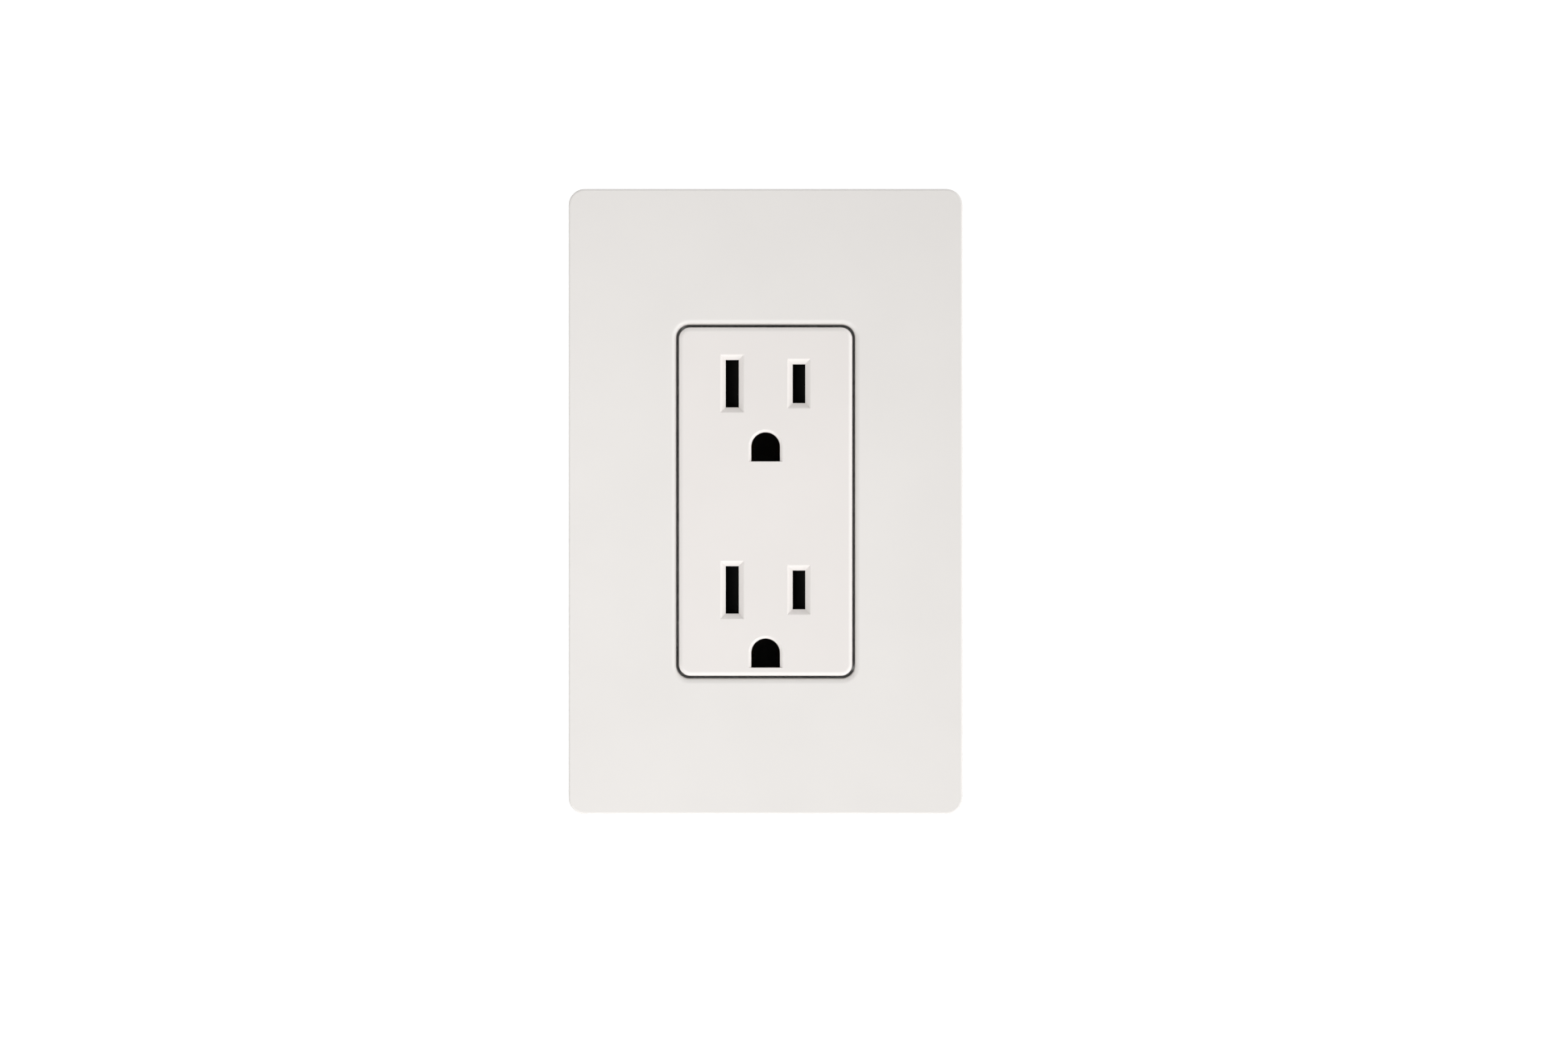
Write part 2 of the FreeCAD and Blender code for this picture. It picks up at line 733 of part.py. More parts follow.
def build_spring(outlet):
    """A coil of round wire, swept along its helix; the helix starts on the shutter's arm."""
    coil = DOC.addObject("Part::Helix", f"{outlet}_coil_line")
    coil.setExpression("Height", bound("spring_length - 2 * spring_wire"))
    coil.setExpression("Pitch", bound("(spring_length - 2 * spring_wire) / spring_turns"))
    coil.setExpression("Radius", bound("spring_radius"))
    wire = DOC.addObject("Part::Circle", f"{outlet}_coil_section")
    wire.setExpression("Radius", bound("spring_wire"))
    wire.Placement = FreeCAD.Placement(FreeCAD.Vector(), HEAD_TOWARDS["room"])
    wire.setExpression("Placement.Base.x", bound("spring_radius"))
    spring = DOC.addObject("Part::Sweep", f"{outlet}_shutter_spring")
    spring.Label = f"{outlet}_shutter_spring"
    spring.Sections = [wire]
    spring.Spine = (coil, [])
    spring.Solid = True
    spring.Frenet = True
    place(
        spring, "right",
        across="-shutter_left + arm_width + spring_wire",
        back="-spring_depth",
        up=f"{outlet}_line - spring_line",
    )
    sub_part(spring)


# The base

def build_base():
    body = sub_part(new_body("base"))
    block = centred("base_width", "base_height")
    add(body, "base_block", "front", [block], "-base_depth", "0")
    dress(body, "Fillet", "base_corners", "base_corner", runs_front_to_back)
    back_loop = front_loop("-base_depth", "base_width / 2", "base_height / 2")
    dress(body, "Chamfer", "base_back_rim", "base_back_edge", back_loop)
    for name, side in SIDES.items():
        carve_contact_pockets(body, name, side)
        carve_terminal_bays(body, name, side)
    for outlet in OUTLETS:
        pin = f"{outlet}_line - pin_drop"
        chamber = rectangle(
            "-pin_chamber_half_width", "pin_chamber_half_width",
            f"{pin} - pin_chamber_half_height", f"{pin} + pin_chamber_half_height",
        )
        cut(body, f"{outlet}_pin_chamber", "front", [chamber], "-pin_chamber_depth", "0")
    channel = rectangle(
        "-channel_half_width", "channel_half_width",
        "lower_line - pin_drop", "upper_line - pin_drop",
    )
    cut(body, "ground_channel", "front", [channel], "-channel_depth", "0")
    for up in ENDS.values():
        for side in (1, -1):
            place_across, place_up = f"{side} * post_place_across", f"{up} * post_place_up"
            well = circle(place_across, place_up, "well_radius")
            cut(body, "screw_well", "front", [well], "-base_depth", "-well_floor")
            through = circle(place_across, place_up, "assembly_radius + 2 * fit")
            cut(body, "screw_way", "front", [through], "-well_floor", "0")
    panel = centred("panel_width", "panel_height")
    cut(body, "back_panel", "front", [panel], "-base_depth", "panel_depth - base_depth")
    gauge = rectangle(
        "gauge_place", "gauge_place + gauge_width", "-gauge_length / 2", "gauge_length / 2"
    )
    cut(body, "strip_gauge", "front", [gauge], "-base_depth", "gauge_depth - base_depth")
    for up in ENDS.values():
        mark = circle("0", f"{up} * ejector_place", "ejector_radius")
        cut(body, "ejector_mark", "front", [mark], "-base_depth", "ejector_depth - base_depth")


def carve_contact_pockets(body, name, side):
    """Pockets open to the strap's side: they take a contact strip as it is laid in."""
    bus = rectangle(
        f"{side} * bus_pocket_inner", f"{side} * bus_pocket_outer",
        "lower_line - chamber_half", "upper_line + chamber_half",
    )
    cut(body, f"{name}_bus_pocket", "front", [bus], "-chamber_depth", "0")
    for outlet in OUTLETS:
        chamber = rectangle(
            f"{side} * chamber_inner", f"{side} * bus_pocket_outer",
            f"{outlet}_line - chamber_half", f"{outlet}_line + chamber_half",
        )
        cut(body, f"{outlet}_{name}_chamber", "front", [chamber], "-chamber_depth", "0")
    for up in ENDS.values():
        shank = rectangle(
            f"{side} * shank_pocket_inner", f"{side} * bus_pocket_outer",
            f"{up} * terminal_line - shank_pocket_half", f"{up} * terminal_line + shank_pocket_half",
        )
        cut(body, f"{name}_shank_pocket", "front", [shank], "-shank_pocket_depth", "0")


def carve_terminal_bays(body, name, side):
    """Bays open to the base's side, and the wire holes that lead into them from behind."""
    low, high = sorted((f"{side} * bus_pocket_outer", f"{side} * base_width / 2"), key=value)
    for up in ENDS.values():
        line = f"{up} * terminal_line"
        bay = rectangle("bay_front", "bay_back", f"{line} - bay_half", f"{line} + bay_half")
        cut(body, f"{name}_terminal_bay", "right", [bay], low, high)
        for step in (1, -1):
            spot = (f"{side} * wire_hole_place", f"{line} + {step} * wire_hole_offset")
            hole = circle(*spot, "wire_hole_radius")
            cut(body, f"{name}_wire_hole", "front", [hole], "-base_depth", "-bay_back")
            funnel = circle(*spot, "wire_funnel_radius")
            cut(
                body, f"{name}_wire_funnel", "front", [funnel],
                "-base_depth", "wire_funnel_depth - base_depth",
            )
    tab_bay = rectangle("bay_front", "bay_back", "-tab_bay_half", "tab_bay_half")
    cut(body, f"{name}_tab_bay", "right", [tab_bay], low, high)


# Contacts

def leaf_profile(middle, way, root, pinch, mouth, root_depth, pinch_depth, mouth_depth, thick):
    """A spring leaf seen from above: it leans in to the pinch and flares out at its mouth."""
    inner = [(root, root_depth), (pinch, pinch_depth), (mouth, mouth_depth)]
    outer = [(f"{offset} + {thick}", depth) for offset, depth in reversed(inner)]
    return polygon([(f"{middle} + {way} * ({offset})", depth) for offset, depth in inner + outer])


def build_contact(name, side):
    body = sub_part(new_body(f"{name}_contact"))
    low, high = sorted((f"{side} * bus_inner", f"{side} * bus_outer"), key=value)
    bus = rectangle("bus_front", "web_back", "lower_line - leaf_half", "upper_line + leaf_half")
    add(body, "bus_plate", "right", [bus], low, high)
    notches = [
        rectangle("bus_front", "bus_notch_front", "-bus_notch", "bus_notch"),
        rectangle("bus_notch_back", "web_back", "-bus_notch", "bus_notch"),
    ]
    cut(body, "break_off_tab", "right", notches, low, high)
    for outlet in OUTLETS:
        line = f"{outlet}_line"
        start, end = f"{line} - leaf_half", f"{line} + leaf_half"
        middle = f"{side} * slot_place"
        web = rectangle(
            f"{middle} - {side} * (leaf_root + leaf_thick)", f"{side} * bus_inner", start, end
        )
        add(body, "contact_web", "front", [web], "-web_back", "-web_front")
        for way in (1, -1):
            leaf = leaf_profile(
                middle, way, "leaf_root", "leaf_pinch", "leaf_mouth",
                "web_front", "leaf_pinch_depth", "leaf_mouth_depth", "leaf_thick",
            )
            add(body, "contact_leaf", "above", [leaf], start, end)
    for up in ENDS.values():
        tapped = circle("terminal_depth", f"{up} * terminal_line", "terminal_radius + fit")
        cut(body, "terminal_tapped_hole", "right", [tapped], low, high)


def build_ground_contact():
    body = sub_part(new_body("ground_contact"))
    upper, lower = "(upper_line - pin_drop)", "(lower_line - pin_drop)"
    strip = rectangle("-ground_half_width", "ground_half_width", lower, upper)
    add(body, "ground_strip", "front", [strip], "-ground_thick", "0")
    for outlet in OUTLETS:
        pin = f"({outlet}_line - pin_drop)"
        pad = rectangle(
            "-ground_pad_half", "ground_pad_half",
            f"{pin} - ground_pad_half_height", f"{pin} + ground_pad_half_height",
        )
        add(body, "ground_pad", "front", [pad], "-ground_thick", "0")
        hole = rectangle(
            "-ground_hole_half_width", "ground_hole_half_width",
            f"{pin} - ground_hole_half_height", f"{pin} + ground_hole_half_height",
        )
        cut(body, "ground_pin_hole", "front", [hole], "-ground_thick", "0")
        for way in (1, -1):
            leaf = leaf_profile(
                "0", way, "ground_hole_half_width", "ground_leaf_pinch", "ground_leaf_mouth",
                "0", "ground_pinch_depth", "ground_leaf_depth",
                "(ground_pad_half - ground_hole_half_width)",
            )
            add(
                body, "ground_leaf", "above", [leaf],
                f"{pin} - ground_leaf_half", f"{pin} + ground_leaf_half",
            )
        rivet_hole = circle("0", f"{outlet}_rivet", "rivet_radius + fit")
        cut(body, "ground_rivet_hole", "front", [rivet_hole], "-ground_thick", "0")


# Fasteners, each turned about its own Z with its head's underside at the origin

def cut_drive(body, head_radius, head_top):
    """A slot across the head, crossed by a shorter one."""
    floor = f"{head_top} - drive_depth"
    slot = centred(f"2 * {head_radius}", "drive_width")
    cross = centred("drive_width", f"cross_share * {head_radius}")
    cut(body, "drive_slot", "above", [slot], floor, head_top)
    cut(body, "drive_cross", "above", [cross], floor, head_top)


def turned_screw(label, head_radius, head, radius, length):
    """A round-headed machine screw with a tapered tip."""
    body = new_body(label)
    turn(
        body, "screw_turning",
        [
            ("0", head),
            (f"crown_share * {head_radius}", head),
            (f"shoulder_share * {head_radius}", f"shoulder_height_share * {head}"),
            (head_radius, f"rim_height_share * {head}"),
            (head_radius, "0"),
            (radius, "0"),
            (radius, f"tip_length - {length}"),
            (f"tip_share * {radius}", f"-{length}"),
            ("0", f"-{length}"),
        ],
    )
    cut_drive(body, head_radius, head)
    return body


def build_mounting_screw(end, up):
    """Its neck is slimmer than its thread, so that the strap's slot and the retainer clear it."""
    body = sub_part(
        turned_screw(
            f"mounting_screw_{end}", "mounting_head_radius", "mounting_head",
            "mounting_radius", "mounting_length",
        )
    )
    relief = body.newObject("PartDesign::Groove", "neck_relief")
    gap = rectangle("mounting_neck", "mounting_head_radius", "-mounting_neck_length", "0")
    sketch = new_sketch(body, "neck_relief_profile", "front", "0", [gap])
    relief.Profile = sketch
    relief.ReferenceAxis = (sketch, ["V_Axis"])
    relief.Angle = 360
    place(body, "room", back="-strap_thick", up=f"{up} * mounting_pitch / 2")


def build_retainer(end, up):
    body = sub_part(new_body(f"retainer_washer_{end}"))
    centre = f"{up} * mounting_pitch / 2"
    square = rectangle(
        "-retainer_half", "retainer_half", f"{centre} - retainer_half", f"{centre} + retainer_half"
    )
    back = "-retainer_front - retainer_thick"
    add(body, "retainer_square", "front", [square], back, "-retainer_front")
    hole = circle("0", centre, "mounting_neck + fit")
    cut(body, "retainer_hole", "front", [hole], back, "-retainer_front")


def build_cover_screw(end, up):
    """A flat-headed screw, its head flush with the adapter plate's front."""
    body = sub_part(new_body(f"adapter_screw_{end}"))
    radius, head_radius = "mounting_radius", "(cover_screw_head_radius - cover_screw_margin)"
    turn(
        body, "screw_turning",
        [
            ("0", "0"),
            (head_radius, "0"),
            (radius, f"{radius} - {head_radius}"),
            (radius, "tip_length - cover_screw_length"),
            (f"tip_share * {radius}", "-cover_screw_length"),
            ("0", "-cover_screw_length"),
        ],
    )
    cut_drive(body, "cover_screw_head_radius", "0")
    place(body, "room", back="-adapter_front", up=f"{up} * cover_pitch / 2")


def build_terminal(name, side, level, up):
    """A binding-head screw with its clamping plate, backed out as the outlet is sold."""
    way = "right" if side > 0 else "left"
    line = f"{up} * terminal_line"
    seat = "(bus_outer + clamp_open + clamp_thick)"
    screw = sub_part(
        turned_screw(
            f"{name}_screw_{level}", "terminal_head_radius", "terminal_head",
            "terminal_radius", "terminal_length",
        )
    )
    place(screw, way, across=f"{side} * {seat}", back="terminal_depth", up=line)
    clamp = sub_part(new_body(f"{name}_clamp_{level}"))
    low, high = sorted((f"{side} * (bus_outer + clamp_open)", f"{side} * {seat}"), key=value)
    add_clamp_plate(clamp, "terminal_depth", line, low, high)


def add_clamp_plate(body, depth, line, low, high):
    """A square plate along X, with its hole for the screw."""
    plate = rectangle(
        f"{depth} - clamp_half", f"{depth} + clamp_half", f"{line} - clamp_half", f"{line} + clamp_half"
    )
    add(body, "clamp_plate", "right", [plate], low, high)
    cut(body, "clamp_hole", "right", [circle(depth, line, "terminal_radius + fit")], low, high)


def build_ground_terminal():
    """A hexagon-headed screw and its clamping plate on the strap's bent tab."""
    clamp_inner = "(-neck_width / 2 - clamp_open)"
    seat = f"({clamp_inner} - clamp_thick)"
    screw = sub_part(new_body("ground_screw"))
    turn(
        screw, "screw_turning",
        [
            ("0", "flange_thick"),
            ("hex_radius + flange_reach", "flange_thick"),
            ("hex_radius + flange_reach", "0"),
            ("terminal_radius", "0"),
            ("terminal_radius", "tip_length - terminal_length"),
            ("tip_share * terminal_radius", "-terminal_length"),
            ("0", "-terminal_length"),
        ],
    )
    corners = [
        (f"hex_radius * cos({angle} deg)", f"hex_radius * sin({angle} deg)")
        for angle in range(0, 360, 60)
    ]
    head_top = "(terminal_head + flange_thick)"
    add(screw, "hexagon_head", "above", [polygon(corners)], "flange_thick", head_top)
    cut_drive(screw, "hex_radius", head_top)
    place(screw, "left", across=seat, back="tab_screw_depth", up="-tab_centre")
    clamp = sub_part(new_body("ground_clamp"))
    add_clamp_plate(clamp, "tab_screw_depth", "-tab_centre", seat, clamp_inner)


def gathered(label, pieces):
    """Identical fasteners that share one node, each a solid of its own."""
    group = DOC.addObject("Part::Compound", label)
    group.Label = label
    group.Links = pieces
    sub_part(group)


def build_assembly_screws():
    screws = []
    for end, up in ENDS.items():
        for side in (1, -1):
            screw = turned_screw(
                f"assembly_screw_{end}", "assembly_head_radius", "assembly_head",
                "assembly_radius", "assembly_length",
            )
            place(
                screw, "wall", across=f"{side} * post_place_across",
                back="well_floor", up=f"{up} * post_place_up",
            )
            screws.append(screw)
    gathered("assembly_screws", screws)


def build_rivets():
    rivets = []
    for outlet in OUTLETS:
        rivet = new_body(f"{outlet}_rivet")
        foot = "-strap_thick - ground_thick"
        turn(
            rivet, "rivet_turning",
            [
                ("0", "rivet_head"),
                ("rivet_head_radius", "rivet_head"),
                ("rivet_head_radius", "0"),
                ("rivet_radius", "0"),
                ("rivet_radius", foot),
                ("rivet_head_radius", foot),
                ("rivet_head_radius", f"{foot} - rivet_head"),
                ("0", f"{foot} - rivet_head"),
            ],
        )
        place(rivet, "room", back="-strap_thick", up=f"{outlet}_rivet")
        rivets.append(rivet)
    gathered("strap_rivets", rivets)


def build_all():
    build_cover_plate()
    build_adapter_plate()
    build_strap()
    build_face()
    build_base()
    for outlet in OUTLETS:
        build_shutter(outlet)
        build_carrier(outlet)
        build_spring(outlet)
    build_ground_contact()
    for name, side in SIDES.items():
        build_contact(name, side)
        for level, up in (("upper", 1), ("lower", -1)):
            build_terminal(name, side, level, up)
    build_ground_terminal()
    for end, up in ENDS.items():
        build_mounting_screw(end, up)
        build_retainer(end, up)
        build_cover_screw(end, up)
    build_assembly_screws()
    build_rivets()


def check_document():
    """Stops on a failed feature, a cut that removes nothing, or a bad shape."""
    for item in DOC.Objects:
        if {"Invalid", "Error"} & set(item.State):
            raise RuntimeError(f"{item.Name} failed: {item.State}")
        if item.TypeId in ("PartDesign::Pocket", "PartDesign::Groove"):
            if item.BaseFeature.Shape.Volume - item.Shape.Volume < TOUCH:
                raise RuntimeError(f"{item.Name} in {item.BaseFeature.Name} cuts nothing")
    for piece in SUB_PARTS:
        if piece.Shape.isNull() or not piece.Shape.isValid():
            raise RuntimeError(f"{piece.Label} has no valid shape")


def write_steps():
    os.makedirs("parts", exist_ok=True)
    for piece in SUB_PARTS:
        piece.Shape.exportStep(f"parts/{piece.Label}.step")
        bounds = piece.Shape.BoundBox
        print(
            f"{piece.Label:24s} solids {len(piece.Shape.Solids)}  volume {piece.Shape.Volume:9.1f}  "
            f"x {bounds.XMin:.2f}..{bounds.XMax:.2f}  y {bounds.YMin:.2f}..{bounds.YMax:.2f}  "
            f"z {bounds.ZMin:.2f}..{bounds.ZMax:.2f}"
        )


fill_sheet()
build_all()
DOC.recompute()
check_document()
write_steps()
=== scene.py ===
"""The looks of a duplex wall outlet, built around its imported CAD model. Metres throughout."""
import json
import math
import random
from collections import namedtuple

import bmesh
import bpy
from mathutils import Matrix, Vector

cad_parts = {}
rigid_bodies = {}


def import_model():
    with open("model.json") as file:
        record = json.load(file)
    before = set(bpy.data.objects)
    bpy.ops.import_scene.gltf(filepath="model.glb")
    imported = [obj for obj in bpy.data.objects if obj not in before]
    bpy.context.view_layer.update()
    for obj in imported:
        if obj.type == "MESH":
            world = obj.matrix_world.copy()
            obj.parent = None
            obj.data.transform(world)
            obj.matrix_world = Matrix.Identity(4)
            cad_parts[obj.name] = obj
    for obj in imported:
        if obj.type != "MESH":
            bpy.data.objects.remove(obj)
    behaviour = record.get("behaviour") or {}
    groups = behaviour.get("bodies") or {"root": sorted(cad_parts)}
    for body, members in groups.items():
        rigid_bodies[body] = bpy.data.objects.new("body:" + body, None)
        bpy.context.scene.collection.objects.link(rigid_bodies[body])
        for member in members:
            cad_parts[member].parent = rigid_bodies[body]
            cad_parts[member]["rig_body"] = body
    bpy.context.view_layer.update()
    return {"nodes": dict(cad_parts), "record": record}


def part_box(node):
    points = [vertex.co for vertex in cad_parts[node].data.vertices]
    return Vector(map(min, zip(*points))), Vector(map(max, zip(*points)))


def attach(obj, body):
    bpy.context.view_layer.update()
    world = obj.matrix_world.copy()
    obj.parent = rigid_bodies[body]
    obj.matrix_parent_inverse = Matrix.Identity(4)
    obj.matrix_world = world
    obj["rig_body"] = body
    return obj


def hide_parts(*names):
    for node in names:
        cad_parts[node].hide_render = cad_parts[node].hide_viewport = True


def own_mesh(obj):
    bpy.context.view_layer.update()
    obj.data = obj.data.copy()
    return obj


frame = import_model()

SLOTS = {row["node"]: row["material_slot"] for row in frame["record"]["subparts"]}

# The camera looks straight at the wall, through a long lens, a little right of and below centre.
CAMERA_DISTANCE = 1.6
CAMERA_RIGHT = 0.0035
CAMERA_DOWN = 0.00398
CAMERA_CLIP = 0.01
VIEW_WIDTH = 0.2983
SENSOR_WIDTH = 36.0

# The studio: a pale room, lit more from its sides than from the front, whose light grows towards
# the right and towards the floor. Past the outlet's wall it is dim, and brighter straight behind.
ROOM_LIGHT = 1.66
ROOM_LIGHT_TOWARDS = (0.5, 0.0, -0.62)
ROOM_DIMMER_AHEAD = 1.5
BEHIND_LIGHT = 0.15
BEHIND_RISE = 1.05
WALL_SHADE_START, WALL_SHADE_END = -0.05, 0.15

# White paper hangs behind the outlet, and the other walls that a camera sees are grey.
PAPER_WHITE = 1.15
WALL_GREY = 0.62
PAPER_SPAN = (0.55, 0.95)

# The floor lies below the plate, and stops short of where the camera would see it.
FLOOR_DROP = 0.062
FLOOR_SIDE = 0.8
FLOOR_FRONT = -1.2
FLOOR_BACK = 0.2
FLOOR_GREY = 0.9
FLOOR_ROUGHNESS = 0.9

# A soft lamp in front, low on the left. Its edge fades out across the plate's top right corner.
LAMP_PLACE = (-0.22, -1.0, -0.3)
LAMP_AIM = (-0.037, 0.0, -0.05)
LAMP_POWER = 7.3
LAMP_SIZE = 0.06
LAMP_CONE = math.radians(14.8)
LAMP_FADE = 0.5

# Where most values of a noise texture lie, and those of the crystals on galvanised steel.
NOISE_SPAN = (0.3, 0.7)
CRYSTAL_SPAN = (0.1, 0.9)

# Every machine screw here has 32 threads to the inch; the ones that hold the body together cut
# their own coarser thread. A thread's profile is its height at each share of a turn.
MACHINE_PITCH = 0.00079375
CUTTING_PITCH = 0.00106
THREAD_PROFILE = ((0.0, 1.0), (0.125, 1.0), (0.4375, 0.0), (0.6875, 0.0), (1.0, 1.0))
THREAD_SHARE = 0.55
TIP_SHARE = 0.92
NECK_TAPER = 0.5
SHANK_INSET = 0.0003
SCREW_SIDES = 48

# Screw heads. The length of a slot or cross is a share of its head's radius.
DRIVE_WIDTH = 0.0009
DRIVE_DEPTH = 0.0009
SLOT_SHARE = 2.4
CROSS_SHARE = 1.15
CROSS_FOOT = 0.62
HEAD_ROUND = 0.00007
HEAD_ROUND_STEPS = 2
SOFT_CREASE = math.radians(38)
SLIVER = 0.0000005
DOME_STEPS = 8
DOME_END = math.radians(78)
DOME_SHARE = 0.62
COUNTERSUNK_RIM = 0.12
HEX_CORNERS = 6
HEX_CHAMFER = math.radians(28)
HEX_CROWN = 0.9
HEX_INSET = 0.0003
FLANGE_THICK = 0.0007
FLANGE_TOP = 0.96

INTO_WALL, OUT_OF_WALL, TO_RIGHT, TO_LEFT = (0, 1, 0), (0, -1, 0), (1, 0, 0), (-1, 0, 0)

# The shutters' springs: their ends are wound closed, a hair's breadth between their turns.
SPRING_WIRE = 0.000125
CLOSED_PITCH = 0.00026
SPRING_TURNS = 9
CLOSED_TURNS = 1.25
TURN_STEPS = 28
WIRE_SIDES = 12
WIRE_CREASE = math.radians(60)

# Points of a mesh that are nearer together than this are one point.
SAME_PLACE = 1e-7


def add_object(name, data):
    made = bpy.data.objects.new(name, data)
    bpy.context.scene.collection.objects.link(made)
    return made


def material(name):
    """A new node material, its tree and its shader."""
    made = bpy.data.materials.new(name)
    made.use_nodes = True
    tree = made.node_tree
    return made, tree, tree.nodes["Principled BSDF"]


def noise(tree, scale, detail=2.0, roughness=0.5):
    """The output of a noise texture that is fixed to its object."""
    coordinates = tree.nodes.new("ShaderNodeTexCoord")
    texture = tree.nodes.new("ShaderNodeTexNoise")
    texture.inputs["Scale"].default_value = scale
    texture.inputs["Detail"].default_value = detail
    texture.inputs["Roughness"].default_value = roughness
    tree.links.new(coordinates.outputs["Object"], texture.inputs["Vector"])
    return texture.outputs["Fac"]


def fade(tree, factor, first, last, span=NOISE_SPAN):
    """Fades from the first colour to the last as the factor crosses the span."""
    node = tree.nodes.new("ShaderNodeValToRGB")
    for element, place, colour in zip(node.color_ramp.elements, span, (first, last)):
        element.position = place
        element.color = (*colour, 1.0)
    tree.links.new(factor, node.inputs["Fac"])
    return node.outputs["Color"]


def tint(tree, shader, factor, deep, pale, span=NOISE_SPAN):
    """Lets a texture vary the colour."""
    tree.links.new(fade(tree, factor, deep, pale, span), shader.inputs["Base Color"])


def polish(tree, shader, factor, smoothest, roughest, span=NOISE_SPAN):
    """Lets a texture vary the roughness."""
    levels = fade(tree, factor, grey(smoothest), grey(roughest), span)
    tree.links.new(levels, shader.inputs["Roughness"])


def bump(tree, shader, height, strength, distance):
    node = tree.nodes.new("ShaderNodeBump")
    node.inputs["Strength"].default_value = strength
    node.inputs["Distance"].default_value = distance
    tree.links.new(height, node.inputs["Height"])
    tree.links.new(node.outputs["Normal"], shader.inputs["Normal"])


def number(tree, operation, first, second):
    """The output of a math node on two sockets or plain numbers."""
    node = tree.nodes.new("ShaderNodeMath")
    node.operation = operation
    for socket, given in zip(node.inputs, (first, second)):
        if isinstance(given, (int, float)):
            socket.default_value = given
        else:
            tree.links.new(given, socket)
    return node.outputs["Value"]


def mixed(tree, factor, first, second):
    """One number or the other, or a mix of them."""
    node = tree.nodes.new("ShaderNodeMix")
    for name, given in (("Factor", factor), ("A", first), ("B", second)):
        tree.links.new(given, node.inputs[name])
    return node.outputs["Result"]


def grey(level):
    return (level, level, level)


def shaded(colour, share):
    """A colour made lighter or darker."""
    return tuple(min(1.0, share * part) for part in colour)


def moulded_plastic(
    name, colour, roughness, grain_scale=2600.0, grain_depth=0.00001, mottle=0.02, shine=0.5
):
    """Moulded plastic: a faint mottle in its colour and gloss, and a fine grain."""
    made, tree, shader = material(name)
    cloud = noise(tree, scale=60.0, detail=3.0)
    tint(tree, shader, cloud, shaded(colour, 1 - mottle), shaded(colour, 1 + mottle))
    polish(tree, shader, cloud, smoothest=0.92 * roughness, roughest=1.08 * roughness)
    grain = noise(tree, grain_scale, roughness=0.6)
    bump(tree, shader, grain, strength=0.5, distance=grain_depth)
    shader.inputs["IOR"].default_value = 1.5
    shader.inputs["Specular IOR Level"].default_value = shine
    return made


def sheet_metal(name, colour, roughness):
    """Rolled metal strip: fine drawn lines along one direction, and a slow cloud of tarnish."""
    made, tree, shader = material(name)
    shader.inputs["Metallic"].default_value = 1.0
    cloud = noise(tree, scale=90.0, detail=4.0)
    tint(tree, shader, cloud, shaded(colour, 0.88), shaded(colour, 1.06))
    lines = drawn_lines(tree, stretch=(1.0, 0.02, 1.0), scale=900.0, detail=4.0)
    polish(tree, shader, lines, smoothest=0.8 * roughness, roughest=1.25 * roughness)
    bump(tree, shader, lines, strength=0.3, distance=0.00002)
    return made


def drawn_lines(tree, stretch, scale, detail):
    """The output of a noise texture that is stretched into lines."""
    coordinates = tree.nodes.new("ShaderNodeTexCoord")
    mapping = tree.nodes.new("ShaderNodeMapping")
    mapping.inputs["Scale"].default_value = stretch
    lines = tree.nodes.new("ShaderNodeTexNoise")
    lines.inputs["Scale"].default_value = scale
    lines.inputs["Detail"].default_value = detail
    tree.links.new(coordinates.outputs["Object"], mapping.inputs["Vector"])
    tree.links.new(mapping.outputs["Vector"], lines.inputs["Vector"])
    return lines.outputs["Fac"]


def galvanised(name):
    """Zinc-plated steel: soft-edged crystals of slightly different greys."""
    made, tree, shader = material(name)
    shader.inputs["Metallic"].default_value = 1.0
    crystals = crystal_colours(tree, scale=640.0, softness=0.35)
    tint(tree, shader, crystals["Red"], grey(0.54), (0.64, 0.64, 0.63), CRYSTAL_SPAN)
    polish(tree, shader, crystals["Green"], smoothest=0.31, roughest=0.43, span=CRYSTAL_SPAN)
    bump(tree, shader, noise(tree, scale=1500.0, detail=3.0), strength=0.3, distance=0.00002)
    return made


def crystal_colours(tree, scale, softness):
    """The outputs of a cell texture: every cell has a red, a green and a blue of its own."""
    coordinates = tree.nodes.new("ShaderNodeTexCoord")
    cells = tree.nodes.new("ShaderNodeTexVoronoi")
    cells.feature = "SMOOTH_F1"
    cells.inputs["Scale"].default_value = scale
    cells.inputs["Smoothness"].default_value = softness
    tree.links.new(coordinates.outputs["Object"], cells.inputs["Vector"])
    split = tree.nodes.new("ShaderNodeSeparateColor")
    tree.links.new(cells.outputs["Color"], split.inputs["Color"])
    return split.outputs


def fibre_board(name):
    """Pressed brown fibre, rough and flecked."""
    made, tree, shader = material(name)
    fibres = noise(tree, scale=1400.0, detail=5.0, roughness=0.7)
    tint(tree, shader, fibres, (0.20, 0.12, 0.06), (0.38, 0.26, 0.14))
    shader.inputs["Roughness"].default_value = 0.85
    bump(tree, shader, fibres, strength=0.6, distance=0.00006)
    return made


def screw_metal(name, colour, roughness):
    """Plated metal with the rings that turning leaves round a screw's axis."""
    made, tree, shader = material(name)
    shader.inputs["Metallic"].default_value = 1.0
    cloud = noise(tree, scale=900.0, detail=3.0)
    tint(tree, shader, cloud, shaded(colour, 0.86), colour)
    rings = turned_rings(tree, scale=16000.0)
    polish(tree, shader, rings, smoothest=0.8 * roughness, roughest=1.3 * roughness)
    bump(tree, shader, rings, strength=0.25, distance=0.00001)
    return made


